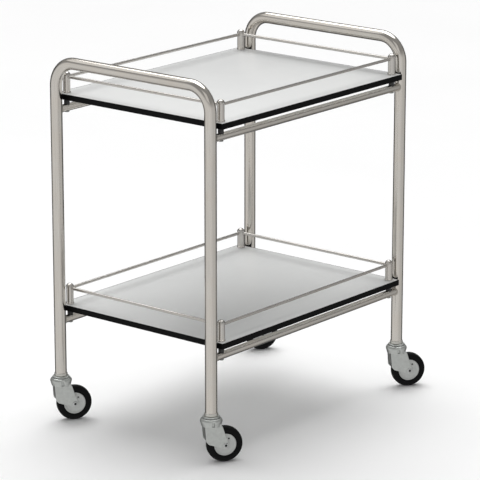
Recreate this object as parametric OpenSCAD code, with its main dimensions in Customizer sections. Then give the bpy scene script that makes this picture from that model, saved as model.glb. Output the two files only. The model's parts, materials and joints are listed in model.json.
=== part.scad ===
// Instrument cart: two bent-tube end frames, two railed shelves and four swivel casters.
// The origin is on the floor at the centre of the four legs. +X runs along the shelves
// towards the right end frame, +Y from the front long side to the rear one, +Z up.

/* [Shelves] */
// Length of a shelf, edge band included
shelf_l = 600; // [520:5:680]
// Width of a shelf, edge band included
shelf_w = 450; // [380:5:520]
// Thickness of a shelf
shelf_t = 12; // [10:0.5:14]
// Height of the lower shelf's top face above the floor
lower_shelf_z = 250; // [230:5:300]
// Height of the upper shelf's top face above the floor
upper_shelf_z = 705; // [600:5:705]
// Thickness of the edge band round each board
band_t = 2; // [1:0.5:3]
// Corner radius of a shelf
corner_r = 4; // [3:0.5:10]

/* [Frame] */
// Height of the top of the handles above the floor
handle_top_z = 790; // [790:5:880]
// Outer diameter of the leg and handle tube
tube_d = 25; // [24:0.5:28]
// Wall thickness of the leg and handle tube
tube_wall = 1.5; // [1.2:0.1:1.8]
// Centreline radius of the bends between the legs and the handle
bend_r = 52; // [40:1:52]
// Gap between a leg and the end of a shelf
end_gap = 3.5; // [2:0.5:8]
// Distance from a shelf's long edge in to the leg axis
leg_inset = 18; // [14:1:22]
// Outer diameter of the cross tubes
cross_d = 16; // [14:0.5:17]
// Wall thickness of the cross tubes
cross_wall = 1.2; // [1:0.1:1.5]
// Depth of a cross tube's axis below the shelf's top face
cross_drop = 31; // [29:1:38]

/* [Guard rails] */
// Distance from the leg axis in to the guard post axis, along the shelf
post_inset = 32; // [30:1:40]
// Diameter of a guard post
post_d = 15.5; // [14:0.5:16]
// Diameter of a guard post's domed top
post_cap_d = 17.5; // [17:0.5:19]
// Height of a guard post above the shelf
post_h = 45; // [44:1:60]
// Diameter of the guard rods
rod_d = 6.5; // [5:0.5:6.5]
// Height of the guard rods' axis above the shelf
rod_z = 34; // [24:1:34]

/* [Casters] */
// Diameter of a wheel
wheel_d = 75; // [72:1:75]
// Width of a tyre
tyre_w = 21; // [20:0.5:22]
// Diameter of the hub disc inside the tyre
hub_d = 47; // [44:1:48]
// Distance of the axle behind the swivel axis
trail = 27; // [25:1:28]
// Direction in which the casters trail, as an angle from +X
caster_yaw = -36; // [-180:1:180]

/* [Hidden] */
$fn = 96;

// Slack between pieces that are pressed, glued or welded together, and between
// pieces that turn on each other
fit_gap = 0.05;
run_gap = 0.06;

leg_x = shelf_l / 2 + end_gap + tube_d / 2;
leg_y = shelf_w / 2 - leg_inset;
post_x = leg_x - post_inset;
leg_bore_d = tube_d - 2 * tube_wall;
bend_z = handle_top_z - tube_d / 2 - bend_r;

// Screws through the cross tubes into the posts
screw_d = 6;
screw_hole_d = 6.6;
screw_head_d = 11;
screw_head_h = 1.8;
screw_grip = 16;
spacer_d = 12;
spacer_wrap = 4;
post_pocket = 3.3;
post_foot_h = 3;
// Reach of a guard rod's end from the post axis
rod_end = post_d / 2 - post_pocket + 0.2;

// Caster heights above the floor, from the leg's end down to the axle
leg_end_z = 106;
flange_h = 6.5;
flange_d = tube_d + 3;
flange_z = leg_end_z - flange_h;
socket_l = 42;
socket_end_t = 5;
stem_d = 11;
stem_tip = 1.5;
stem_top_z = leg_end_z + socket_l - socket_end_t - 0.5;
stem_head_d = 18;
stem_head_h = 3;
cap_d = 36;
cap_top_z = flange_z - fit_gap;
crown_d = 46;
crown_end_d = 40;
crown_end_z = 78;
crown_top_z = 96;
crown_shoulder_r = 7.5;
crown_floor_t = 2.6;
race_r = 18;
race_z = 91.5;
race_floor_z = race_z - crown_floor_t;
flute_r = 6;
flute_depth = 2.2;
flute_end_z = 84;
ball_d = 5;
ball_pitch_r = 14.5;
ball_count = 14;
ball_z = race_z + run_gap + ball_d / 2;
cap_bottom_z = race_z + ball_d + 2 * run_gap;

// Fork cheeks, axle and wheel
cheek_t = 2.5;
cheek_inner = tyre_w / 2 + 1.8;
cheek_outer = cheek_inner + cheek_t;
cheek_tip_r = 8;
cheek_front = -16;
crown_hollow_d = 2 * cheek_inner - 0.8;
web_end_z = 52;
axle_z = wheel_d / 2;
axle_d = 8;
axle_bore_d = 4.6;
axle_head_d = 12;
axle_head_h = 1.8;
bush_d = 12;
bush_end_gap = 0.1;
hub_half = 9.4;
hub_dish = 1.2;
hub_rim_t = 2;
boss_d = 17;
boss_half = cheek_inner - 0.4;
groove_depth = 3;
groove_half = 4;
tyre_r = wheel_d / 2;
shoulder_r = 7;
oil_hole_d = 4;
oil_hole_r = 14.5;
oil_hole_angle = 57;

// Corner name, side along X, side along Y
CORNERS = [
    ["front_left", -1, -1],
    ["front_right", 1, -1],
    ["rear_left", -1, 1],
    ["rear_right", 1, 1],
];
CASTER_PIECES = [
    "socket", "stem", "swivel_cap", "ball_ring", "fork", "axle", "axle_bush", "hub", "tyre",
];

// ---- helpers ----

// A round bar or tube along X, centred on the origin
module bar_x(d, l) {
    rotate([0, 90, 0])
        cylinder(d = d, h = l, center = true);
}

// A round bar along Y, centred on the origin
module bar_y(d, l) {
    rotate([90, 0, 0])
        cylinder(d = d, h = l, center = true);
}

// Children once at each guard post of one shelf
module at_posts() {
    for (corner = CORNERS)
        translate([corner[1] * post_x, corner[2] * leg_y, 0])
            children();
}

// Children at one leg's foot, turned so that local +X is the trailing direction
module at_leg(corner) {
    translate([corner[1] * leg_x, corner[2] * leg_y, 0])
        rotate([0, 0, caster_yaw])
            children();
}

// ---- frame ----

// Cross-section of the leg and handle tube
module tube_section() {
    difference() {
        circle(d = tube_d);
        circle(d = leg_bore_d);
    }
}

// One end frame: leg, bend, handle, bend, leg
module end_frame(side) {
    color("lightgray")
        translate([side * leg_x, 0, 0]) {
            for (half = [-1, 1]) {
                translate([0, half * leg_y, leg_end_z])
                    linear_extrude(bend_z - leg_end_z)
                        tube_section();
                translate([0, half * (leg_y - bend_r), bend_z])
                    rotate([90, 0, 90 * half])
                        rotate_extrude(angle = 90)
                            translate([bend_r, 0])
                                tube_section();
            }
            translate([0, 0, bend_z + bend_r])
                rotate([90, 0, 0])
                    linear_extrude(2 * (leg_y - bend_r), center = true)
                        tube_section();
        }
}

// One cross tube, its ends coped to the legs and drilled for the shelf screws
module cross_tube(shelf_z, side) {
    color("silver")
        translate([0, side * leg_y, shelf_z - cross_drop])
            difference() {
                bar_x(cross_d, 2 * leg_x);
                bar_x(cross_d - 2 * cross_wall, 2 * leg_x + 2);
                for (end = [-1, 1]) {
                    translate([end * leg_x, 0, 0])
                        cylinder(d = tube_d + 2 * fit_gap, h = 2 * cross_d, center = true);
                    translate([end * post_x, 0, 0])
                        cylinder(d = screw_hole_d, h = 2 * cross_d, center = true);
                }
            }
}

// ---- shelves ----

// A rectangle with rounded corners, centred on the origin
module rounded_plate(l, w, r) {
    square([l - 2 * r, w], center = true);
    square([l, w - 2 * r], center = true);
    for (x = [-1, 1])
        for (y = [-1, 1])
            translate([x * (l / 2 - r), y * (w / 2 - r)])
                circle(r = r);
}

module shelf_board(shelf_z) {
    inset = 2 * (band_t + fit_gap);
    color("whitesmoke")
        translate([0, 0, shelf_z - shelf_t])
            linear_extrude(shelf_t)
                difference() {
                    rounded_plate(shelf_l - inset, shelf_w - inset, corner_r - band_t);
                    at_posts()
                        circle(d = screw_hole_d);
                }
}

module edge_band(shelf_z) {
    color("black")
        translate([0, 0, shelf_z - shelf_t])
            linear_extrude(shelf_t)
                difference() {
                    rounded_plate(shelf_l, shelf_w, corner_r);
                    rounded_plate(shelf_l - 2 * band_t, shelf_w - 2 * band_t, corner_r - band_t);
                }
}

// Saddle bushes between the boards and the cross tubes
module shelf_spacers() {
    color("dimgray")
        for (shelf_z = [lower_shelf_z, upper_shelf_z])
            at_posts()
                translate([0, 0, shelf_z - cross_drop])
                    difference() {
                        translate([0, 0, spacer_wrap])
                            cylinder(d = spacer_d, h = cross_drop - shelf_t - spacer_wrap);
                        bar_x(cross_d + 2 * fit_gap, 2 * spacer_d);
                        cylinder(d = screw_hole_d, h = cross_drop);
                    }
}

// Screws up through cross tube, spacer and board into the posts
module shelf_screws() {
    head_top = -cross_d / 2 - fit_gap;
    color("gray")
        for (shelf_z = [lower_shelf_z, upper_shelf_z])
            at_posts()
                translate([0, 0, shelf_z - cross_drop]) {
                    translate([0, 0, head_top - screw_head_h / 2])
                        cylinder(d = screw_head_d, h = screw_head_h / 2);
                    translate([0, 0, head_top - screw_head_h])
                        cylinder(d1 = screw_head_d - 3, d2 = screw_head_d, h = screw_head_h / 2);
                    translate([0, 0, head_top])
                        cylinder(d = screw_d, h = cross_drop - head_top + screw_grip);
                }
}

// ---- guard rails ----

// Half outline of a turned guard post: foot, shaft and domed top
module post_outline() {
    dome_r = post_cap_d / 2;
    neck_z = post_h - dome_r + 1;
    square([post_d / 2 + 1, post_foot_h]);
    square([post_d / 2, neck_z]);
    intersection() {
        translate([0, post_h - dome_r])
            circle(r = dome_r);
        translate([0, neck_z - 1.5])
            square([dome_r, dome_r + 1.5]);
    }
}

// One post with its screw hole and, facing its two neighbours, the rod pockets
module guard_post() {
    difference() {
        rotate_extrude()
            post_outline();
        translate([0, 0, -1])
            cylinder(d = screw_d + 2 * fit_gap, h = screw_grip + 2);
        translate([post_d / 2, 0, rod_z])
            bar_x(rod_d + 2 * fit_gap, 2 * post_pocket);
        translate([0, post_d / 2, rod_z])
            bar_y(rod_d + 2 * fit_gap, 2 * post_pocket);
    }
}

module guard_posts(shelf_z) {
    color("silver")
        for (corner = CORNERS)
            translate([corner[1] * post_x, corner[2] * leg_y, shelf_z])
                mirror([corner[1] > 0 ? 1 : 0, 0, 0])
                    mirror([0, corner[2] > 0 ? 1 : 0, 0])
                        guard_post();
}

// A rod along the front or rear side
module long_rod(shelf_z, side) {
    color("silver")
        translate([0, side * leg_y, shelf_z + rod_z])
            bar_x(rod_d, 2 * (post_x - rod_end));
}

// A rod along the left or right side
module short_rod(shelf_z, side) {
    color("silver")
        translate([side * post_x, 0, shelf_z + rod_z])
            bar_y(rod_d, 2 * (leg_y - rod_end));
}

// ---- casters, in the leg's own frame: swivel axis at the origin, axle along Y ----

// Plug in the end of the leg, with the flange that the leg stands on
module leg_socket() {
    bore_top_z = leg_end_z + socket_l - socket_end_t;
    color("darkgray")
        difference() {
            union() {
                translate([0, 0, flange_z])
                    cylinder(d = flange_d, h = flange_h - fit_gap);
                translate([0, 0, flange_z])
                    cylinder(d = leg_bore_d - 2 * fit_gap, h = flange_h + socket_l);
            }
            translate([0, 0, flange_z - 1])
                cylinder(d = stem_d + 2 * fit_gap, h = bore_top_z - flange_z + 1);
        }
}

// King pin: riveted head under the crown's floor, shank up into the socket
module caster_stem() {
    head_top = race_floor_z - run_gap;
    color("gray")
        union() {
            translate([0, 0, head_top - stem_head_h])
                cylinder(d = stem_head_d, h = stem_head_h);
            translate([0, 0, head_top - 1])
                cylinder(d = stem_d, h = stem_top_z - stem_tip - head_top + 1);
            translate([0, 0, stem_top_z - stem_tip])
                cylinder(d1 = stem_d, d2 = stem_d - 2 * stem_tip, h = stem_tip);
        }
}

// Fixed upper race: a washer with a rounded rim, clamped under the socket's flange
module swivel_cap() {
    cap_h = cap_top_z - cap_bottom_z;
    color("darkgray")
        translate([0, 0, cap_bottom_z])
            rotate_extrude()
                difference() {
                    union() {
                        square([cap_d / 2 - cap_h, cap_h]);
                        intersection() {
                            translate([cap_d / 2 - cap_h, 0])
                                circle(r = cap_h);
                            square([cap_d, cap_h]);
                        }
                    }
                    translate([-1, -1])
                        square([stem_d / 2 + fit_gap + 1, cap_d]);
                }
}

// Bearing balls between the cap and the fork's crown
module ball_ring() {
    color("silver")
        for (i = [0:ball_count - 1])
            rotate([0, 0, i * 360 / ball_count])
                translate([ball_pitch_r, 0, ball_z])
                    sphere(d = ball_d);
}

// Side outline of a cheek, X along the trailing direction: level with the crown at the
// top, sloping back to a round tip about the axle
module cheek_outline() {
    polygon([
        [cheek_front - 0.5, flute_end_z], [-cheek_front + 1, flute_end_z],
        [trail - 6, crown_end_z - 1], [trail + 0.7, axle_z + 18.5],
        [trail + cheek_tip_r, axle_z + 1], [trail, axle_z - cheek_tip_r],
        [trail - 6, axle_z - 6.5], [trail - 20.5, axle_z - 1.5],
        [cheek_front + 7.5, axle_z + 4], [cheek_front + 2, axle_z + 10.5],
        [cheek_front, crown_end_z - 3],
    ]);
    translate([trail, axle_z])
        circle(r = cheek_tip_r);
}

// Space inside the fork: open behind and below, closed in front by a web
module fork_slot_outline() {
    web_inner = cheek_front + cheek_t + 0.5;
    polygon([
        [web_inner, crown_end_z], [web_inner + 1, web_end_z], [-wheel_d, web_end_z],
        [-wheel_d, -1], [2 * wheel_d, -1], [2 * wheel_d, crown_end_z],
    ]);
}

// Solid of revolution of the crown: cone below, rounded shoulder above
module crown_body() {
    shoulder_z = crown_top_z - crown_shoulder_r;
    inner_r = crown_d / 2 - crown_shoulder_r;
    translate([0, 0, crown_end_z])
        cylinder(d1 = crown_end_d, d2 = crown_d, h = shoulder_z - crown_end_z);
    translate([0, 0, shoulder_z])
        rotate_extrude() {
            square([inner_r, crown_shoulder_r]);
            intersection() {
                translate([inner_r, 0])
                    circle(r = crown_shoulder_r);
                square(crown_d);
            }
        }
}

// Pressed fork: round crown with the ball race, over two flat cheeks
module caster_fork() {
    color("lightgray")
        difference() {
            union() {
                crown_body();
                rotate([90, 0, 0])
                    linear_extrude(2 * cheek_outer, center = true)
                        cheek_outline();
            }
            rotate([90, 0, 0])
                linear_extrude(2 * cheek_inner, center = true)
                    fork_slot_outline();
            // hollow of the crown round the king pin's head
            translate([0, 0, crown_end_z - 1])
                cylinder(d = crown_hollow_d, h = race_floor_z - crown_end_z + 1);
            // recess for the balls, and the king pin's hole
            translate([0, 0, race_z])
                cylinder(r = race_r, h = crown_d);
            translate([0, 0, crown_end_z])
                cylinder(d = stem_d + 2 * run_gap, h = crown_d);
            // flutes pressed into both broad sides of the crown
            for (side = [-1, 1])
                translate([0, side * (crown_d / 2 + flute_r - flute_depth), flute_end_z])
                    cylinder(r = flute_r, h = crown_d);
            translate([trail, 0, axle_z])
                bar_y(axle_d + 2 * fit_gap, 4 * cheek_outer);
        }
}

// Hollow rivet through both cheeks
module axle() {
    reach = cheek_outer + fit_gap;
    color("gray")
        translate([trail, 0, axle_z])
            difference() {
                union() {
                    bar_y(axle_d, 2 * reach + 0.2);
                    for (side = [-1, 1])
                        translate([0, side * (reach + axle_head_h / 2), 0])
                            bar_y(axle_head_d, axle_head_h);
                }
                bar_y(axle_bore_d, 4 * reach);
            }
}

// Sleeve on the axle, clamped between the cheeks, that the wheel turns on
module axle_bush() {
    color("goldenrod")
        translate([trail, 0, axle_z])
            difference() {
                bar_y(bush_d, 2 * (cheek_inner - bush_end_gap));
                bar_y(axle_d + 2 * fit_gap, 4 * cheek_inner);
            }
}

// Half section of the hub: boss, dished disc and rim with a groove for the tyre
module hub_section() {
    dish_half = hub_half - hub_dish;
    bore_r = bush_d / 2 + run_gap;
    difference() {
        union() {
            translate([bore_r, -boss_half])
                square([boss_d / 2 - bore_r, 2 * boss_half]);
            polygon([
                [boss_d / 2 - 1, -dish_half], [hub_d / 2 - hub_rim_t - 1, -dish_half],
                [hub_d / 2 - hub_rim_t, -hub_half], [hub_d / 2, -hub_half],
                [hub_d / 2, hub_half], [hub_d / 2 - hub_rim_t, hub_half],
                [hub_d / 2 - hub_rim_t - 1, dish_half], [boss_d / 2 - 1, dish_half],
            ]);
        }
        translate([hub_d / 2 - groove_depth, -groove_half])
            square([groove_depth + 1, 2 * groove_half]);
    }
}

module wheel_hub() {
    color("gainsboro")
        translate([trail, 0, axle_z])
            difference() {
                rotate([90, 0, 0])
                    rotate_extrude()
                        hub_section();
                rotate([0, -oil_hole_angle, 0])
                    translate([oil_hole_r, 0, 0])
                        bar_y(oil_hole_d, 4 * hub_half);
            }
}

// Half section of the tyre: rounded shoulders and a rib in the hub's groove
module tyre_section() {
    inner = hub_d / 2 + fit_gap;
    half = tyre_w / 2;
    translate([inner, -half])
        square([tyre_r - shoulder_r - inner, 2 * half]);
    translate([inner, -half + shoulder_r])
        square([tyre_r - inner, 2 * (half - shoulder_r)]);
    for (side = [-1, 1])
        translate([tyre_r - shoulder_r, side * (half - shoulder_r)])
            circle(r = shoulder_r);
    translate([inner - groove_depth, -groove_half + fit_gap])
        square([groove_depth + 1, 2 * (groove_half - fit_gap)]);
}

module tyre() {
    color("black")
        translate([trail, 0, axle_z])
            rotate([90, 0, 0])
                rotate_extrude()
                    tyre_section();
}

end_frame(-1);  // left_end_frame
end_frame(1);  // right_end_frame
cross_tube(upper_shelf_z, -1);  // upper_front_cross_tube
cross_tube(upper_shelf_z, 1);  // upper_rear_cross_tube
cross_tube(lower_shelf_z, -1);  // lower_front_cross_tube
cross_tube(lower_shelf_z, 1);  // lower_rear_cross_tube
shelf_board(upper_shelf_z);  // upper_shelf_board
shelf_board(lower_shelf_z);  // lower_shelf_board
edge_band(upper_shelf_z);  // upper_edge_band
edge_band(lower_shelf_z);  // lower_edge_band
guard_posts(upper_shelf_z);  // upper_guard_posts
guard_posts(lower_shelf_z);  // lower_guard_posts
long_rod(upper_shelf_z, -1);  // upper_front_rod
long_rod(upper_shelf_z, 1);  // upper_rear_rod
short_rod(upper_shelf_z, -1);  // upper_left_rod
short_rod(upper_shelf_z, 1);  // upper_right_rod
long_rod(lower_shelf_z, -1);  // lower_front_rod
long_rod(lower_shelf_z, 1);  // lower_rear_rod
short_rod(lower_shelf_z, -1);  // lower_left_rod
short_rod(lower_shelf_z, 1);  // lower_right_rod
shelf_spacers();
shelf_screws();
for (corner = CORNERS) {
    at_leg(corner) leg_socket();
    at_leg(corner) caster_stem();
    at_leg(corner) swivel_cap();
    at_leg(corner) ball_ring();
    at_leg(corner) caster_fork();
    at_leg(corner) axle();
    at_leg(corner) axle_bush();
    at_leg(corner) wheel_hub();
    at_leg(corner) tyre();
}
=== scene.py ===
import json
import math

import bmesh
import bpy
from mathutils import Matrix, Vector


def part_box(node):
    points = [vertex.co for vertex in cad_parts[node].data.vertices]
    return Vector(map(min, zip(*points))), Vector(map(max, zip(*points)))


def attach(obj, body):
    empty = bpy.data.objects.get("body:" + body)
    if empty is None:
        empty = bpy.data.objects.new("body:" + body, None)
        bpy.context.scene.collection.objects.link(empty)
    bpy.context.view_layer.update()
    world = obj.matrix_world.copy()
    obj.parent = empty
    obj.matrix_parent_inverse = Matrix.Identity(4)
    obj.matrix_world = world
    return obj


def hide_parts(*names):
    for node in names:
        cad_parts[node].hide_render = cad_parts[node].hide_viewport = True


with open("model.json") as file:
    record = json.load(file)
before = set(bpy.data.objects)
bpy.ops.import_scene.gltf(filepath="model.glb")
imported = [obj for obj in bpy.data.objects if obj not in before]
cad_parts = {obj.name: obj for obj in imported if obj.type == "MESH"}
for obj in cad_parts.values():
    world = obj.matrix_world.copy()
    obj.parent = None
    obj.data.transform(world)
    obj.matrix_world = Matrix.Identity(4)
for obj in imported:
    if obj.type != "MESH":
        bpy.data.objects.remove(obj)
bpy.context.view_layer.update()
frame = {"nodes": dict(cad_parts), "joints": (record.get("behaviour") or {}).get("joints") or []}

MM = 0.001
CORNERS = ("front_left", "front_right", "rear_left", "rear_right")
JOINTS = {j["name"]: j for j in frame["joints"]}


# ---------- materials ----------

class Mat:
    """A node material under construction: p is its Principled shader."""

    def __init__(self, name, colour, rough, metallic=0.0, **sockets):
        self.m = bpy.data.materials.new(name)
        self.m.use_nodes = True
        self.nt = self.m.node_tree
        self.p = self.nt.nodes["Principled BSDF"]
        self.p.inputs["Base Color"].default_value = (*colour, 1)
        self.p.inputs["Roughness"].default_value = rough
        self.p.inputs["Metallic"].default_value = metallic
        for k, v in sockets.items():
            self.p.inputs[k.replace("_", " ")].default_value = v
        self.colour = colour

    def node(self, kind, **props):
        n = self.nt.nodes.new(kind)
        for k, v in props.items():
            setattr(n, k, v)
        return n

    def link(self, a, b):
        self.nt.links.new(a, b)

    def coords(self, scale, uv=False):
        tc = self.node("ShaderNodeTexCoord")
        mp = self.node("ShaderNodeMapping")
        mp.inputs["Scale"].default_value = scale
        self.link(tc.outputs["UV" if uv else "Object"], mp.inputs["Vector"])
        return mp.outputs["Vector"]

    def noise(self, vec, scale, detail=4.0, rough=0.55):
        n = self.node("ShaderNodeTexNoise")
        n.inputs["Scale"].default_value = scale
        n.inputs["Detail"].default_value = detail
        n.inputs["Roughness"].default_value = rough
        self.link(vec, n.inputs["Vector"])
        return n.outputs["Fac"]

    def ramp(self, fac, lo, hi, at=(0.3, 0.7)):
        r = self.node("ShaderNodeValToRGB")
        r.color_ramp.elements[0].position, r.color_ramp.elements[1].position = at
        r.color_ramp.elements[0].color = (*lo, 1)
        r.color_ramp.elements[1].color = (*hi, 1)
        self.link(fac, r.inputs["Fac"])
        return r.outputs["Color"]

    def span(self, fac, lo, hi):
        r = self.node("ShaderNodeMapRange")
        r.inputs["From Min"].default_value, r.inputs["From Max"].default_value = 0.3, 0.7
        r.inputs["To Min"].default_value, r.inputs["To Max"].default_value = lo, hi
        self.link(fac, r.inputs["Value"])
        return r.outputs["Result"]

    def mix(self, fac, a, b):
        x = self.node("ShaderNodeMix", data_type="RGBA")
        self.link(fac, x.inputs["Factor"])
        self.link(a, x.inputs[6])
        self.link(b, x.inputs[7])
        return x.outputs[2]

    def edges(self, lo=0.52, hi=0.60):
        """1 along worn convex edges, 0 elsewhere."""
        g = self.node("ShaderNodeNewGeometry")
        r = self.node("ShaderNodeMapRange")
        r.inputs["From Min"].default_value, r.inputs["From Max"].default_value = lo, hi
        self.link(g.outputs["Pointiness"], r.inputs["Value"])
        return r.outputs["Result"]

    def bump(self, fac, distance, strength=1.0, after=None):
        b = self.node("ShaderNodeBump")
        b.inputs["Distance"].default_value = distance
        b.inputs["Strength"].default_value = strength
        self.link(fac, b.inputs["Height"])
        if after is not None:
            self.link(after, b.inputs["Normal"])
        self.link(b.outputs["Normal"], self.p.inputs["Normal"])
        return b.outputs["Normal"]


def tone(c, f):
    return tuple(min(1.0, max(0.0, x * f)) for x in c)


def steel(name, colour, rough, streak=(900, 14), uv=True):
    """Satin steel, drawn lengthwise: u runs round the bar and v along it, both in metres."""
    m = Mat(name, colour, rough, 1.0)
    fine = m.noise(m.coords((streak[0], streak[1], 1), uv), 1.0, 5.0, 0.6)
    broad = m.noise(m.coords((120, 3.0, 1), uv), 1.0, 3.0)
    cloud = m.noise(m.coords((1, 1, 1)), 22.0, 4.0)
    base = m.ramp(fine, tone(colour, 0.88), tone(colour, 1.08))
    warm = tuple(c * k for c, k in zip(colour, (1.03, 0.98, 0.93)))
    m.link(m.mix(m.span(cloud, 0.0, 0.55), base, m.ramp(broad, tone(warm, 0.86), tone(warm, 1.06))),
           m.p.inputs["Base Color"])
    m.link(m.span(broad, rough * 0.85, rough * 1.25), m.p.inputs["Roughness"])
    m.bump(fine, 0.00002, 0.5)
    return m.m


def zinc(name, colour, rough, metallic=0.85):
    """Dull zinc plate: soft mottling, fine pitting and brighter worn edges."""
    m = Mat(name, colour, rough, metallic)
    vec = m.coords((1, 1, 1))
    patch = m.noise(vec, 160.0, 3.0)
    fine = m.noise(vec, 1400.0, 3.0)
    base = m.ramp(patch, tone(colour, 0.91), tone(colour, 1.06))
    bright = m.node("ShaderNodeRGB")
    bright.outputs[0].default_value = (*tone(colour, 1.22), 1)
    m.link(m.mix(m.edges(), base, bright.outputs[0]), m.p.inputs["Base Color"])
    m.link(m.span(patch, rough * 0.82, rough * 1.2), m.p.inputs["Roughness"])
    m.bump(fine, 0.00004, 0.5)
    return m.m


def plastic(name, colour, rough, grain=900.0, depth=0.00005, wear=0.4, sheen=0.5):
    """Moulded plastic or rubber: fine grain, uneven sheen and greyed edges."""
    m = Mat(name, colour, rough, Specular_IOR_Level=sheen)
    vec = m.coords((1, 1, 1))
    fine = m.noise(vec, grain, 4.0)
    cloud = m.noise(vec, 35.0, 4.0)
    grey = tuple(c + 0.06 * wear for c in colour)
    base = m.ramp(cloud, tone(colour, 0.75), tuple(c * 1.9 + 0.001 for c in colour))
    worn = m.node("ShaderNodeRGB")
    worn.outputs[0].default_value = (*grey, 1)
    m.link(m.mix(m.edges(0.53, 0.64), base, worn.outputs[0]), m.p.inputs["Base Color"])
    m.link(m.span(cloud, rough * 0.85, rough * 1.15), m.p.inputs["Roughness"])
    m.bump(fine, depth, 0.6)
    return m.m


def laminate(name, colour, rough):
    """White board laminate: slight pearl texture and faint mottling."""
    m = Mat(name, colour, rough)
    vec = m.coords((1, 1, 1))
    fine = m.noise(vec, 700.0, 3.0)
    cloud = m.noise(vec, 9.0, 5.0)
    scuff = m.noise(m.coords((30, 260, 30)), 1.0, 4.0, 0.7)
    base = m.ramp(cloud, tone(colour, 0.965), tone(colour, 1.01))
    faint = m.ramp(fine, tone(colour, 0.955), tone(colour, 1.0))
    m.link(m.mix(m.span(scuff, 0.1, 0.5), base, faint), m.p.inputs["Base Color"])
    m.link(m.span(scuff, rough * 0.85, rough * 1.2), m.p.inputs["Roughness"])
    m.bump(fine, 0.00003, 0.35)
    return m.m


STEEL = (0.60, 0.575, 0.535)
M = {
    "tube": steel("tube_satin_steel", STEEL, 0.13),
    "cross": steel("cross_tube_steel", tone(STEEL, 1.02), 0.15),
    "rail": steel("rail_bright_steel", (0.55, 0.535, 0.51), 0.16),
    "weld": zinc("weld_bead_steel", (0.42, 0.395, 0.36), 0.42, 1.0),
    "board": laminate("shelf_white_laminate", (0.79, 0.797, 0.79), 0.34),
    "edge": plastic("edge_black_moulding", (0.0015, 0.0016, 0.0018), 0.5, wear=0.05, sheen=0.08),
    "spacer": plastic("spacer_black_plastic", (0.008, 0.008, 0.008), 0.5, sheen=0.25),
    "socket": zinc("socket_turned_steel", (0.55, 0.54, 0.50), 0.34, 1.0),
    "fork": zinc("fork_zinc_plate", (0.50, 0.515, 0.495), 0.34),
    "rivet": zinc("rivet_zinc_plate", (0.48, 0.49, 0.48), 0.36, 1.0),
    "hub": zinc("hub_cast_alloy", (0.50, 0.51, 0.495), 0.46, 0.75),
    "ball": zinc("bearing_ball_steel", (0.60, 0.60, 0.60), 0.18, 1.0),
    "bush": zinc("bush_bronze", (0.50, 0.36, 0.17), 0.38, 1.0),
    "tyre": plastic("tyre_black_rubber", (0.0016, 0.0016, 0.0018), 0.6, 420.0, 0.00012, 0.06, 0.12),
}


# ---------- mesh helpers ----------

def make(name, bm, mat, sharp=32):
    """A mesh object from a bmesh, smooth except over edges sharper than the angle."""
    bmesh.ops.remove_doubles(bm, verts=bm.verts, dist=1e-7)
    bmesh.ops.recalc_face_normals(bm, faces=bm.faces)
    me = bpy.data.meshes.new(name)
    bm.to_mesh(me)
    bm.free()
    for f in me.polygons:
        f.use_smooth = True
    me.set_sharp_from_angle(angle=math.radians(sharp))
    me.materials.append(M[mat])
    ob = bpy.data.objects.new(name, me)
    bpy.context.scene.collection.objects.link(ob)
    return ob


def grid_faces(bm, rings, closed_v, closed_u=True, uvs=None):
    """Faces between successive rings of vertices; uvs holds (u of column, v of ring) in metres."""
    layer = bm.loops.layers.uv.verify()
    n, k = len(rings), len(rings[0])
    for i in range(n if closed_v else n - 1):
        for j in range(k if closed_u else k - 1):
            a, b = rings[i], rings[(i + 1) % n]
            quad = (a[j], a[(j + 1) % k], b[(j + 1) % k], b[j])
            if len(set(quad)) < 3:
                continue
            face = bm.faces.new(list(dict.fromkeys(quad)))
            if uvs:
                us, vs = uvs
                spot = {quad[0]: (us[j], vs[i]), quad[1]: (us[j + 1], vs[i]),
                        quad[2]: (us[j + 1], vs[i + 1]), quad[3]: (us[j], vs[i + 1])}
                for loop in face.loops:
                    loop[layer].uv = spot[loop.vert]


def lathe(bm, profile, segs=64, closed=False, matrix=None):
    """Solid of revolution about Z from [(r, z)] in metres; a closed profile makes a ring."""
    rings, vs, run = [], [0.0], 0.0
    for i, (r, z) in enumerate(profile):
        if r < 1e-9:
            v = bm.verts.new((0, 0, z))
            rings.append([v] * segs)
        else:
            rings.append([bm.verts.new((r * math.cos(2 * math.pi * j / segs),
                                        r * math.sin(2 * math.pi * j / segs), z)) for j in range(segs)])
        nxt = profile[(i + 1) % len(profile)]
        run += math.dist((r, z), nxt)
        vs.append(run)
    biggest = max(r for r, _ in profile)
    us = [2 * math.pi * biggest * j / segs for j in range(segs + 1)]
    grid_faces(bm, rings, closed, True, (us, vs))
    if matrix is not None:
        made = {v for ring in rings for v in ring}
        bmesh.ops.transform(bm, matrix=matrix, verts=list(made))


def arc(cx, cz, r, a0, a1, n=6):
    """Points (r, z) on a circle's arc, angles in degrees, ends included."""
    return [(cx + r * math.cos(math.radians(a0 + (a1 - a0) * i / n)),
             cz + r * math.sin(math.radians(a0 + (a1 - a0) * i / n))) for i in range(n + 1)]


def sweep(bm, path, normal, radius, segs=48):
    """Round tube along a flat path; normal is at right angles to the path's plane. Open ends."""
    rings, vs, run = [], [0.0], 0.0
    for i, p in enumerate(path):
        a, b = path[max(i - 1, 0)], path[min(i + 1, len(path) - 1)]
        t = (b - a).normalized()
        side = t.cross(normal).normalized()
        rings.append([bm.verts.new(p + normal * (radius * math.cos(2 * math.pi * j / segs))
                                   + side * (radius * math.sin(2 * math.pi * j / segs)))
                      for j in range(segs)])
        if i:
            run += (p - path[i - 1]).length
            vs.append(run)
    us = [2 * math.pi * radius * j / segs for j in range(segs + 1)]
    grid_faces(bm, rings, False, True, (us, vs[:]))
    return rings


def along(axis):
    """Matrix that turns Z to the given axis."""
    return Vector((0, 0, 1)).rotation_difference(Vector(axis)).to_matrix().to_4x4()


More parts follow.
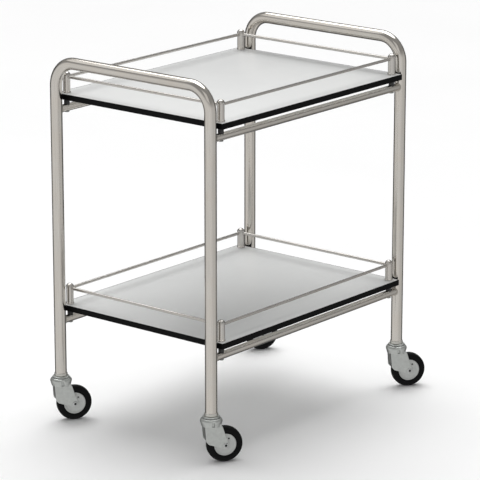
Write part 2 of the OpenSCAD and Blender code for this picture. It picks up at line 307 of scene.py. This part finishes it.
def place(x, y, z, axis=(0, 0, 1)):
    return Matrix.Translation((x, y, z)) @ along(axis)


def bar(bm, a, b, r, chamfer=0.0004, segs=32):
    """Solid round bar from a to b with small chamfers."""
    d = b - a
    length = d.length
    profile = [(0, 0), (r - chamfer, 0), (r, chamfer), (r, length / 3), (r, 2 * length / 3),
               (r, length - chamfer), (r - chamfer, length), (0, length)]
    lathe(bm, profile, segs, matrix=Matrix.Translation(a) @ along(d))


def finish_piece(ob, body, slot, *nodes):
    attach(ob, body)
    if nodes:
        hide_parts(*nodes)
    return ob


# ---------- frame ----------

LEG = {c: Vector(JOINTS[c + "_swivel"]["pos_m"]) for c in CORNERS}
TUBE_R = (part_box("left_end_frame")[1].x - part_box("left_end_frame")[0].x) / 2
WALL = 1.5 * MM
CROSS_WALL = 1.2 * MM
COPE_GAP = 0.05 * MM
BEAD_R = 1.5 * MM
BEND_R = 52 * MM
LEG_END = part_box("left_end_frame")[0].z
HANDLE_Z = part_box("left_end_frame")[1].z - TUBE_R
LEG_Y = LEG["rear_left"].y


def end_frame(name, x):
    bz, by = HANDLE_Z - BEND_R, LEG_Y - BEND_R
    path = [Vector((x, -LEG_Y, LEG_END + (bz - LEG_END) * i / 24)) for i in range(24)]
    path += [Vector((x, -by - BEND_R * math.cos(t), bz + BEND_R * math.sin(t)))
             for t in [math.pi / 2 * i / 20 for i in range(21)]]
    path += [Vector((x, -by + 2 * by * i / 12, HANDLE_Z)) for i in range(1, 12)]
    path += [Vector((x, by + BEND_R * math.sin(t), bz + BEND_R * math.cos(t)))
             for t in [math.pi / 2 * i / 20 for i in range(21)]]
    path += [Vector((x, LEG_Y, LEG_END + (bz - LEG_END) * i / 24)) for i in range(23, -1, -1)]
    bm = bmesh.new()
    out = sweep(bm, path, Vector((1, 0, 0)), TUBE_R)
    inn = sweep(bm, path, Vector((1, 0, 0)), TUBE_R - WALL)
    for a, b in ((out[0], inn[0]), (out[-1], inn[-1])):
        for j in range(len(a)):
            k = (j + 1) % len(a)
            bm.faces.new((a[j], a[k], b[k], b[j]))
    return finish_piece(make(name + "_tube", bm, "tube"), "cart", "tube_steel", name)


end_frame("left_end_frame", LEG["front_left"].x)
end_frame("right_end_frame", LEG["front_right"].x)


def saddle_x(r_leg, y):
    """How far along X from the leg's axis a point, y to one side of it, meets the leg."""
    return math.sqrt(max(r_leg * r_leg - y * y, 0.0))


def cross_tube(node):
    lo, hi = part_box(node)
    y, z, r = (lo.y + hi.y) / 2, (lo.z + hi.z) / 2, (hi.z - lo.z) / 2
    x = LEG["front_right"].x
    segs, rings_at = 48, 40
    bm = bmesh.new()
    skins = []
    for rr in (r, r - CROSS_WALL):
        rings, vs = [], []
        for i in range(rings_at + 1):
            ring = []
            for j in range(segs):
                t = 2 * math.pi * j / segs
                dy, dz = rr * math.cos(t), rr * math.sin(t)
                reach = x - saddle_x(TUBE_R + COPE_GAP, dy)
                ring.append(bm.verts.new((-reach + 2 * reach * i / rings_at, y + dy, z + dz)))
            rings.append(ring)
            vs.append(2 * x * i / rings_at)
        us = [2 * math.pi * rr * j / segs for j in range(segs + 1)]
        grid_faces(bm, rings, False, True, (us, vs))
        skins.append(rings)
    for e in (0, -1):
        a, b = skins[0][e], skins[1][e]
        for j in range(segs):
            k = (j + 1) % segs
            bm.faces.new((a[j], a[k], b[k], b[j]))
    return finish_piece(make(node + "_tube", bm, "cross"), "cart", "tube_steel", node)


def weld_beads(node):
    """A fillet bead round each end of a cross tube, with the ripples of a hand-laid weld."""
    lo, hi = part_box(node)
    y, z, r = (lo.y + hi.y) / 2, (lo.z + hi.z) / 2, (hi.z - lo.z) / 2
    x = LEG["front_right"].x
    bm = bmesh.new()
    steps, segs = 96, 10
    for side in (-1, 1):
        rings = []
        for i in range(steps):
            t = 2 * math.pi * i / steps
            wob = 1 + 0.10 * math.sin(16 * t) + 0.06 * math.sin(5 * t + side)
            br = BEAD_R * wob
            dy, dz = r * math.cos(t), r * math.sin(t)
            reach = x - saddle_x(TUBE_R, dy)
            centre = Vector((side * (reach - 0.1 * MM), y + dy, z + dz))
            out = Vector((0, math.cos(t), math.sin(t)))
            inward = Vector((-side, 0, 0))
            rings.append([bm.verts.new(centre + out * (br * math.cos(2 * math.pi * j / segs))
                                       + inward * (br * math.sin(2 * math.pi * j / segs)))
                          for j in range(segs)])
        grid_faces(bm, rings, True)
    return finish_piece(make(node + "_welds", bm, "weld", 60), "cart", "tube_steel")


for shelf in ("upper", "lower"):
    for side in ("front", "rear"):
        cross_tube(f"{shelf}_{side}_cross_tube")
        weld_beads(f"{shelf}_{side}_cross_tube")


# ---------- shelves ----------

BAND_T, BAND_CORNER_R, BAND_SOFT_R, BOARD_EDGE_R = 2 * MM, 4 * MM, 1.1 * MM, 0.35 * MM


def rounded(l, w, r, n=8):
    """Outline points of a rounded rectangle, anticlockwise."""
    pts = []
    for cx, cy, a in ((1, 1, 0), (-1, 1, 90), (-1, -1, 180), (1, -1, 270)):
        for i in range(n + 1):
            t = math.radians(a + 90 * i / n)
            pts.append((cx * (l / 2 - r) + r * math.cos(t), cy * (w / 2 - r) + r * math.sin(t)))
    return pts


def plate_ring(bm, l, w, r, z):
    return [bm.verts.new((px, py, z)) for px, py in rounded(l, w, r)]


def board(shelf):
    node = shelf + "_shelf_board"
    lo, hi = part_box(node)
    l, w, e = hi.x - lo.x, hi.y - lo.y, BOARD_EDGE_R
    corner_r = BAND_CORNER_R - BAND_T
    bm = bmesh.new()
    rings = [plate_ring(bm, l - 2 * d, w - 2 * d, corner_r - d, z)
             for d, z in ((e, lo.z), (0.1 * MM, lo.z + 0.1 * MM), (0, lo.z + e), (0, hi.z - e),
                          (0.1 * MM, hi.z - 0.1 * MM), (e, hi.z))]
    grid_faces(bm, rings, False)
    bm.faces.new(list(reversed(rings[0])))
    bm.faces.new(rings[-1])
    return finish_piece(make(node + "_laminate", bm, "board"), "cart", "shelf_laminate", node)


def edge_band(shelf):
    """Moulded edging with softly rounded outer edges, bonded round the board."""
    node = shelf + "_edge_band"
    lo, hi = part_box(node)
    l, w, r, t = hi.x - lo.x, hi.y - lo.y, BAND_CORNER_R, BAND_T
    soft = BAND_SOFT_R
    section = [(t, lo.z)]
    section += [(soft - soft * math.sin(a), lo.z + soft - soft * math.cos(a))
                for a in [math.pi / 2 * i / 5 for i in range(6)]]
    section += [(soft - soft * math.cos(a), hi.z - soft + soft * math.sin(a))
                for a in [math.pi / 2 * i / 5 for i in range(6)]]
    section += [(t, hi.z)]
    bm = bmesh.new()
    rings = [plate_ring(bm, l - 2 * d, w - 2 * d, max(r - d, 0.3 * MM), z) for d, z in section]
    grid_faces(bm, rings, True)
    return finish_piece(make(node + "_moulding", bm, "edge", 40), "cart", "edge_band", node)


for shelf in ("upper", "lower"):
    board(shelf)
    edge_band(shelf)


# ---------- guard rails ----------

POST_R, POST_CAP_R, POST_H = 7.75 * MM, 8.75 * MM, 45 * MM
POST_INSET = 32 * MM
POST_X = LEG["front_right"].x - POST_INSET


def posts(shelf):
    """Turned posts: a flanged foot, a straight shank and an overhanging domed top."""
    node = shelf + "_guard_posts"
    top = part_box(shelf + "_shelf_board")[1].z
    bm = bmesh.new()
    profile = [(0, 0), (8.35 * MM, 0), (8.75 * MM, 0.4 * MM), (8.75 * MM, 2.4 * MM), (8.35 * MM, 2.9 * MM),
               (POST_R + 0.15 * MM, 3.1 * MM), (POST_R, 3.8 * MM), (POST_R, 14 * MM),
               (POST_R, 25 * MM), (POST_R, 36.2 * MM), (POST_R + 0.1 * MM, 36.5 * MM),
               (POST_CAP_R - 0.5 * MM, 36.7 * MM), (POST_CAP_R, 37.2 * MM)]
    profile += arc(0, POST_H - POST_CAP_R, POST_CAP_R, 6, 90, 12)[:-1] + [(0, POST_H)]
    for sx in (-1, 1):
        for sy in (-1, 1):
            lathe(bm, profile, 48, matrix=place(sx * POST_X, sy * LEG_Y, top))
    return finish_piece(make(node + "_turned", bm, "rail", 40), "cart", "rail_steel", node)


def rod(node):
    """A guard rod, with a small fillet collar where it enters each post."""
    lo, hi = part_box(node)
    long_x = hi.x - lo.x > hi.y - lo.y
    r = (hi.z - lo.z) / 2
    z = (hi.z + lo.z) / 2
    if long_x:
        y = (lo.y + hi.y) / 2
        a, b = Vector((lo.x, y, z)), Vector((hi.x, y, z))
    else:
        x = (lo.x + hi.x) / 2
        a, b = Vector((x, lo.y, z)), Vector((x, hi.y, z))
    bm = bmesh.new()
    bar(bm, a, b, r)
    d = (b - a).normalized()
    for p, q in ((a, d), (b, -d)):
        seat = p + q * 3.0 * MM
        collar = [(r - 0.2 * MM, -0.6 * MM), (r + 0.8 * MM, -0.6 * MM), (r + 0.7 * MM, 0.4 * MM),
                  (r + 0.3 * MM, 0.9 * MM), (r - 0.2 * MM, 1.2 * MM)]
        lathe(bm, collar, 32, True, Matrix.Translation(seat) @ along(q))
    return finish_piece(make(node + "_bar", bm, "rail", 40), "cart", "rail_steel", node)


for shelf in ("upper", "lower"):
    posts(shelf)
    for side in ("front", "rear", "left", "right"):
        rod(f"{shelf}_{side}_rod")


# ---------- shelf screws ----------

def screws():
    """Low round heads with a recess, under the cross tubes; plain shanks run up into the posts."""
    bm = bmesh.new()
    for shelf in ("upper", "lower"):
        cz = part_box(shelf + "_front_cross_tube")
        top = cz[0].z - 0.05 * MM
        for sx in (-1, 1):
            for sy in (-1, 1):
                head = [(0, -0.8 * MM), (2.2 * MM, -0.8 * MM), (2.4 * MM, -1.8 * MM)]
                head += [(3.9 * MM, -1.8 * MM), (4.8 * MM, -1.45 * MM), (5.3 * MM, -0.9 * MM),
                         (5.5 * MM, -0.4 * MM), (5.4 * MM, 0), (3.0 * MM, 0),
                         (3.0 * MM, 46 * MM), (0, 46 * MM)]
                lathe(bm, head, 32, matrix=place(sx * POST_X, sy * LEG_Y, top))
    return finish_piece(make("shelf_screws_heads", bm, "rivet", 40), "cart", "zinc_fixings", "shelf_screws")


screws()


# ---------- casters ----------

def local(corner):
    """The leg's own frame: swivel axis at the origin, +X the trailing direction."""
    s, w = Vector(JOINTS[corner + "_swivel"]["pos_m"]), Vector(JOINTS[corner + "_spin"]["pos_m"])
    yaw = math.atan2(w.y - s.y, w.x - s.x)
    return Matrix.Translation((s.x, s.y, 0)) @ Matrix.Rotation(yaw, 4, "Z")


def applied(ob):
    """Bakes an object's modifiers into its mesh."""
    dg = bpy.context.evaluated_depsgraph_get()
    dg.update()
    me = bpy.data.meshes.new_from_object(ob.evaluated_get(dg))
    ob.modifiers.clear()
    old = ob.data
    ob.data = me
    bpy.data.meshes.remove(old)
    return ob


def scratch(name, bm):
    bmesh.ops.remove_doubles(bm, verts=bm.verts, dist=1e-7)
    bmesh.ops.recalc_face_normals(bm, faces=bm.faces)
    me = bpy.data.meshes.new(name)
    bm.to_mesh(me)
    bm.free()
    ob = bpy.data.objects.new(name, me)
    bpy.context.scene.collection.objects.link(ob)
    return ob


def cut(ob, tool):
    b = ob.modifiers.new("cut", "BOOLEAN")
    b.operation, b.solver, b.object = "DIFFERENCE", "EXACT", tool
    applied(ob)
    bpy.data.objects.remove(tool)
    return ob


FIRST = CORNERS[0]
TO_LOCAL = local(FIRST).inverted()
SWIVEL_AT = Vector(JOINTS[FIRST + "_swivel"]["pos_m"])
SPIN_AT = Vector(JOINTS[FIRST + "_spin"]["pos_m"])
TRAIL = (SPIN_AT - SWIVEL_AT).to_2d().length
AXLE_Z = JOINTS[FIRST + "_spin"]["pos_m"][2]
TYRE_BORE_R, TYRE_SHOULDER_R = 23.55 * MM, 7 * MM
OIL_HOLE_R, OIL_HOLE_OUT, OIL_HOLE_ANGLE = 2 * MM, 14.5 * MM, math.radians(57)
STEM_BORE_R = 5.55 * MM
VOXEL = 0.00055
CROSS_Y = place(TRAIL, 0, AXLE_Z, (0, 1, 0))


def local_box(node):
    pts = [TO_LOCAL @ v.co for v in frame["nodes"][node].data.vertices]
    return (Vector([min(p[i] for p in pts) for i in range(3)]),
            Vector([max(p[i] for p in pts) for i in range(3)]))


def fork_mesh():
    """The fork with the soft edges of a pressing: its solid remeshed finely, then relaxed."""
    me = frame["nodes"][FIRST + "_fork"].data.copy()
    me.transform(TO_LOCAL)
    ob = bpy.data.objects.new("fork_work", me)
    bpy.context.scene.collection.objects.link(ob)
    for side in (-1, 1):
        # the small pocket at the foot of each flute
        bm = bmesh.new()
        y0, y1 = side * 17.5 * MM, side * 30 * MM
        tri = [(-3.4, 80.5), (3.4, 80.5), (1.6, 89)]
        tri.append((-1.6, 89))
        front = [bm.verts.new((x * MM, y0, z * MM)) for x, z in tri]
        back = [bm.verts.new((x * MM, y1, z * MM)) for x, z in tri]
        bm.faces.new(front)
        bm.faces.new(list(reversed(back)))
        for j in range(4):
            k = (j + 1) % 4
            bm.faces.new((front[j], back[j], back[k], front[k]))
        cut(ob, scratch("pocket_tool", bm))
    r = ob.modifiers.new("remesh", "REMESH")
    r.mode, r.voxel_size, r.use_smooth_shade = "VOXEL", VOXEL, True
    s = ob.modifiers.new("relax", "SMOOTH")
    s.factor, s.iterations = 0.5, 5
    d = ob.modifiers.new("thin", "DECIMATE")
    d.ratio = 0.22
    applied(ob)
    for f in ob.data.polygons:
        f.use_smooth = True
    ob.data.materials.clear()
    ob.data.materials.append(M["fork"])
    me = ob.data
    me.name = "caster_fork"
    bpy.data.objects.remove(ob)
    return me


def caster_mesh(name, bm, mat, sharp=35):
    ob = make(name, bm, mat, sharp)
    me = ob.data
    bpy.data.objects.remove(ob)
    return me


def tyre_mesh():
    """Tyre with rounded shoulders, a fine mould line and a moulded ring beside the hub."""
    lo, hi = local_box(FIRST + "_tyre")
    half, out = (hi.y - lo.y) / 2, (hi.z - lo.z) / 2
    inner, sh = TYRE_BORE_R, TYRE_SHOULDER_R
    pro = [(inner, -half + 0.6 * MM), (inner + 0.5 * MM, -half + 0.1 * MM)]
    pro += [(inner + 2.0 * MM, -half + 0.05 * MM), (inner + 2.4 * MM, -half + 0.35 * MM),
            (inner + 3.0 * MM, -half + 0.35 * MM), (inner + 3.4 * MM, -half)]
    pro += arc(out - sh, -half + sh, sh - 0.05 * MM, -84, -6, 12)
    pro += [(out - 0.05 * MM, -0.5 * MM), (out, -0.2 * MM), (out, 0.2 * MM), (out - 0.05 * MM, 0.5 * MM)]
    pro += arc(out - sh, half - sh, sh - 0.05 * MM, 6, 84, 12)
    pro += [(inner + 3.4 * MM, half), (inner + 3.0 * MM, half - 0.35 * MM),
            (inner + 2.4 * MM, half - 0.35 * MM), (inner + 2.0 * MM, half - 0.05 * MM),
            (inner + 0.5 * MM, half - 0.1 * MM), (inner, half - 0.6 * MM)]
    bm = bmesh.new()
    lathe(bm, pro, 96, True, CROSS_Y)
    return caster_mesh("caster_tyre", bm, "tyre")


def hub_mesh():
    """Dished hub disc with a rolled rim, a raised boss and the oil hole."""
    lo, hi = local_box(FIRST + "_hub")
    bore, boss, rim, half, reach = 6.06 * MM, 8.5 * MM, 23.5 * MM, 9.4 * MM, (hi.y - lo.y) / 2
    side = [(bore, reach - 0.3 * MM), (bore + 0.3 * MM, reach), (boss - 0.5 * MM, reach),
            (boss, reach - 0.5 * MM), (boss + 0.1 * MM, half - 0.4 * MM), (boss + 0.7 * MM, half - 1.0 * MM),
            (11.5 * MM, half - 1.2 * MM), (17.5 * MM, half - 1.2 * MM), (19.4 * MM, half - 1.0 * MM),
            (20.6 * MM, half - 0.4 * MM), (21.4 * MM, half - 0.05 * MM), (22.2 * MM, half),
            (23.0 * MM, half - 0.1 * MM), (rim, half - 0.6 * MM)]
    pro = side + [(r, -z) for r, z in reversed(side)]
    bm = bmesh.new()
    lathe(bm, pro, 96, True, CROSS_Y)
    ob = make("hub_work", bm, "hub")
    tool = bmesh.new()
    spot = Vector((TRAIL + OIL_HOLE_OUT * math.cos(OIL_HOLE_ANGLE), 0,
                   AXLE_Z + OIL_HOLE_OUT * math.sin(OIL_HOLE_ANGLE)))
    through = Vector((0, 30 * MM, 0))
    bar(tool, spot - through, spot + through, OIL_HOLE_R)
    cut(ob, scratch("oil_hole_tool", tool))
    for f in ob.data.polygons:
        f.use_smooth = True
    ob.data.set_sharp_from_angle(angle=math.radians(35))
    me = ob.data
    bpy.data.objects.remove(ob)
    return me


def axle_mesh():
    """Hollow rivet with domed, rolled heads."""
    lo, hi = local_box(FIRST + "_axle")
    reach, head_h = (hi.y - lo.y) / 2, 1.8 * MM
    bore, shank, head = 2.3 * MM, 4 * MM, 6 * MM
    side = [(bore, 0), (bore, reach - 0.9 * MM), (bore + 0.35 * MM, reach - 0.25 * MM),
            (bore + 0.9 * MM, reach), (bore + 1.7 * MM, reach - 0.05 * MM),
            (head - 1.0 * MM, reach - 0.55 * MM),
            (head - 0.2 * MM, reach - 1.2 * MM), (head, reach - head_h + 0.2 * MM),
            (head - 0.1 * MM, reach - head_h), (shank, reach - head_h), (shank, 0)]
    bm = bmesh.new()
    lathe(bm, side + [(r, -z) for r, z in reversed(side[1:-1])], 48, True, CROSS_Y)
    return caster_mesh("caster_axle", bm, "rivet")


def socket_mesh():
    """Turned plug: the collar under the leg's end, with softened corners."""
    lo, hi = local_box(FIRST + "_socket")
    flange, plug, bore = 14 * MM, 10.95 * MM, STEM_BORE_R
    z0, z1 = lo.z, LEG_END - 0.05 * MM
    pro = [(bore, z0), (flange - 0.9 * MM, z0),
           (flange - 0.25 * MM, z0 + 0.25 * MM), (flange, z0 + 0.9 * MM),
           (flange, z1 - 1.6 * MM), (flange - 0.3 * MM, z1 - 0.7 * MM),
           (flange - 0.9 * MM, z1 - 0.1 * MM),
           (flange - 1.4 * MM, z1), (plug, z1), (plug, hi.z - 1 * MM), (plug - 1 * MM, hi.z), (0, hi.z),
           (0, hi.z - 5 * MM), (bore, hi.z - 5 * MM)]
    bm = bmesh.new()
    lathe(bm, pro[:12], 48)
    lathe(bm, [pro[0], pro[13], pro[12]], 48)
    return caster_mesh("caster_socket", bm, "socket")


def cap_mesh():
    """Fixed upper race: a dished cap with a rolled rim."""
    lo, hi = local_box(FIRST + "_swivel_cap")
    r, h, bore = (hi.x - lo.x) / 2, hi.z - lo.z, STEM_BORE_R
    pro = [(bore, lo.z), (r - 0.3 * MM, lo.z), (r, lo.z + 0.35 * MM)]
    pro += arc(r - h, lo.z, h, 12, 88, 8) + [(r - h - 1 * MM, hi.z), (bore, hi.z)]
    bm = bmesh.new()
    lathe(bm, pro, 64, True)
    return caster_mesh("caster_swivel_cap", bm, "fork")


SHARED = {
    "fork": (fork_mesh(), "fork", "caster_zinc"),
    "axle": (axle_mesh(), "fork", "zinc_fixings"),
    "hub": (hub_mesh(), "wheel", "hub_zinc"),
    "tyre": (tyre_mesh(), "wheel", "tyre_rubber"),
    "socket": (socket_mesh(), None, "socket_steel"),
    "swivel_cap": (cap_mesh(), None, "caster_zinc"),
}
for corner in CORNERS:
    for part, (shape, body, slot_name) in SHARED.items():
        me = shape.copy()
        me.transform(local(corner))
        ob = bpy.data.objects.new(f"{corner}_{part}_shape", me)
        bpy.context.scene.collection.objects.link(ob)
        finish_piece(ob, f"{corner}_{body}" if body else "cart", slot_name, f"{corner}_{part}")

# CAD nodes whose shape is kept as it is
KEPT = {"shelf_spacers": "spacer"}
for corner in CORNERS:
    KEPT.update({corner + "_stem": "rivet", corner + "_ball_ring": "ball", corner + "_axle_bush": "bush"})
for node, mat in KEPT.items():
    ob = frame["nodes"][node]
    ob.data.materials.clear()
    ob.data.materials.append(M[mat])


# ---------- stage ----------

def floor(size, n=24):
    """Pale floor of the given width; the steel reflects the world's gradient instead of it."""
    bm = bmesh.new()
    pts = [[bm.verts.new((size * (i / n - 0.5), size * (j / n - 0.5), 0)) for j in range(n + 1)]
           for i in range(n + 1)]
    for i in range(n):
        for j in range(n):
            bm.faces.new((pts[i][j], pts[i + 1][j], pts[i + 1][j + 1], pts[i][j + 1]))
    m = Mat("floor_pale_matt", (0.90, 0.90, 0.90), 0.9, Specular_IOR_Level=0.1)
    cloud = m.noise(m.coords((1, 1, 1)), 1.5, 2.0)
    m.link(m.ramp(cloud, (0.945, 0.945, 0.945), (0.96, 0.96, 0.96)), m.p.inputs["Base Color"])
    M["floor"] = m.m
    ob = make("studio_floor", bm, "floor")
    ob.visible_glossy = False


floor(160.0)

# the camera's own bearing, level, and the bearing to its right
AHEAD, RIGHT = (0.773, 0.634, 0), (0.634, -0.773, 0)


def studio_world(zenith, open_side, far_side):
    """Soft overhead light; round the horizon, pale in front and dark beyond the object."""
    world = bpy.data.worlds.new("studio")
    bpy.context.scene.world = world
    world.use_nodes = True
    nt = world.node_tree

    def node(kind, **props):
        n = nt.nodes.new(kind)
        for k, v in props.items():
            setattr(n, k, v)
        return n

    def facing(direction, lo, hi, a, b):
        d = node("ShaderNodeVectorMath", operation="DOT_PRODUCT")
        d.inputs[1].default_value = direction
        nt.links.new(tc.outputs["Generated"], d.inputs[0])
        r = node("ShaderNodeMapRange", interpolation_type="SMOOTHSTEP")
        for k, v in (("From Min", lo), ("From Max", hi), ("To Min", a), ("To Max", b)):
            r.inputs[k].default_value = v
        nt.links.new(d.outputs["Value"], r.inputs["Value"])
        return r.outputs["Result"]

    tc = node("ShaderNodeTexCoord")
    ring = node("ShaderNodeMath", operation="MULTIPLY")
    nt.links.new(facing(AHEAD, 0.0, 0.62, open_side, far_side), ring.inputs[0])
    nt.links.new(facing(RIGHT, 0.0, 0.95, 1.0, 0.80), ring.inputs[1])
    level = node("ShaderNodeMix", data_type="FLOAT")
    nt.links.new(facing((0, 0, 1), 0.05, 0.50, 0.0, 1.0), level.inputs["Factor"])
    nt.links.new(ring.outputs[0], level.inputs[2])
    level.inputs[3].default_value = zenith
    bg = nt.nodes["Background"]
    bg.inputs["Color"].default_value = (1, 1, 1, 1)
    nt.links.new(level.outputs[0], bg.inputs["Strength"])


studio_world(0.35, 0.86, 0.11)
bpy.context.scene.view_settings.view_transform = "Standard"


def area(name, at, towards, size, power):
    """A soft rectangular light."""
    data = bpy.data.lights.new(name, "AREA")
    data.shape, data.size, data.size_y, data.energy = "RECTANGLE", size[0], size[1], power
    ob = bpy.data.objects.new(name, data)
    ob.location = at
    ob.rotation_mode = "QUATERNION"
    ob.rotation_quaternion = (Vector(towards) - Vector(at)).to_track_quat("-Z", "Y")
    bpy.context.scene.collection.objects.link(ob)


def overhead(strength, spread, towards):
    """Broad even light from above, as from a lit studio ceiling."""
    data = bpy.data.lights.new("overhead_broad", "SUN")
    data.energy, data.angle = strength, math.radians(spread)
    ob = bpy.data.objects.new("overhead_broad", data)
    ob.rotation_mode = "QUATERNION"
    ob.rotation_quaternion = Vector(towards).to_track_quat("-Z", "Y")
    bpy.context.scene.collection.objects.link(ob)


overhead(2.25, 56, (-0.34, -0.26, -1))
area("key_soft", (-2.6, -2.2, 3.2), (0, 0, 0.4), (2.4, 2.4), 8)
area("back_soft", (-0.9, 1.9, 3.1), (0, 0, 0.6), (1.8, 1.8), 7)

# ---------- camera ----------

AZ, EL = math.radians(-50.65), math.radians(15.51)
TARGET, DISTANCE = Vector((0.0285, 0.0, 0.358)), 6.165
back = Vector((math.sin(AZ) * math.cos(EL), -math.cos(AZ) * math.cos(EL), math.sin(EL)))
cam = bpy.data.cameras.new("studio_camera")
cam.lens, cam.sensor_width = 216.5, 36.0
cam.clip_start, cam.clip_end = 0.1, 200.0
cam_ob = bpy.data.objects.new("studio_camera", cam)
cam_ob.location = TARGET + back * DISTANCE
cam_ob.rotation_mode = "QUATERNION"
cam_ob.rotation_quaternion = (-back).to_track_quat("-Z", "Y")
bpy.context.scene.collection.objects.link(cam_ob)
bpy.context.scene.camera = cam_ob
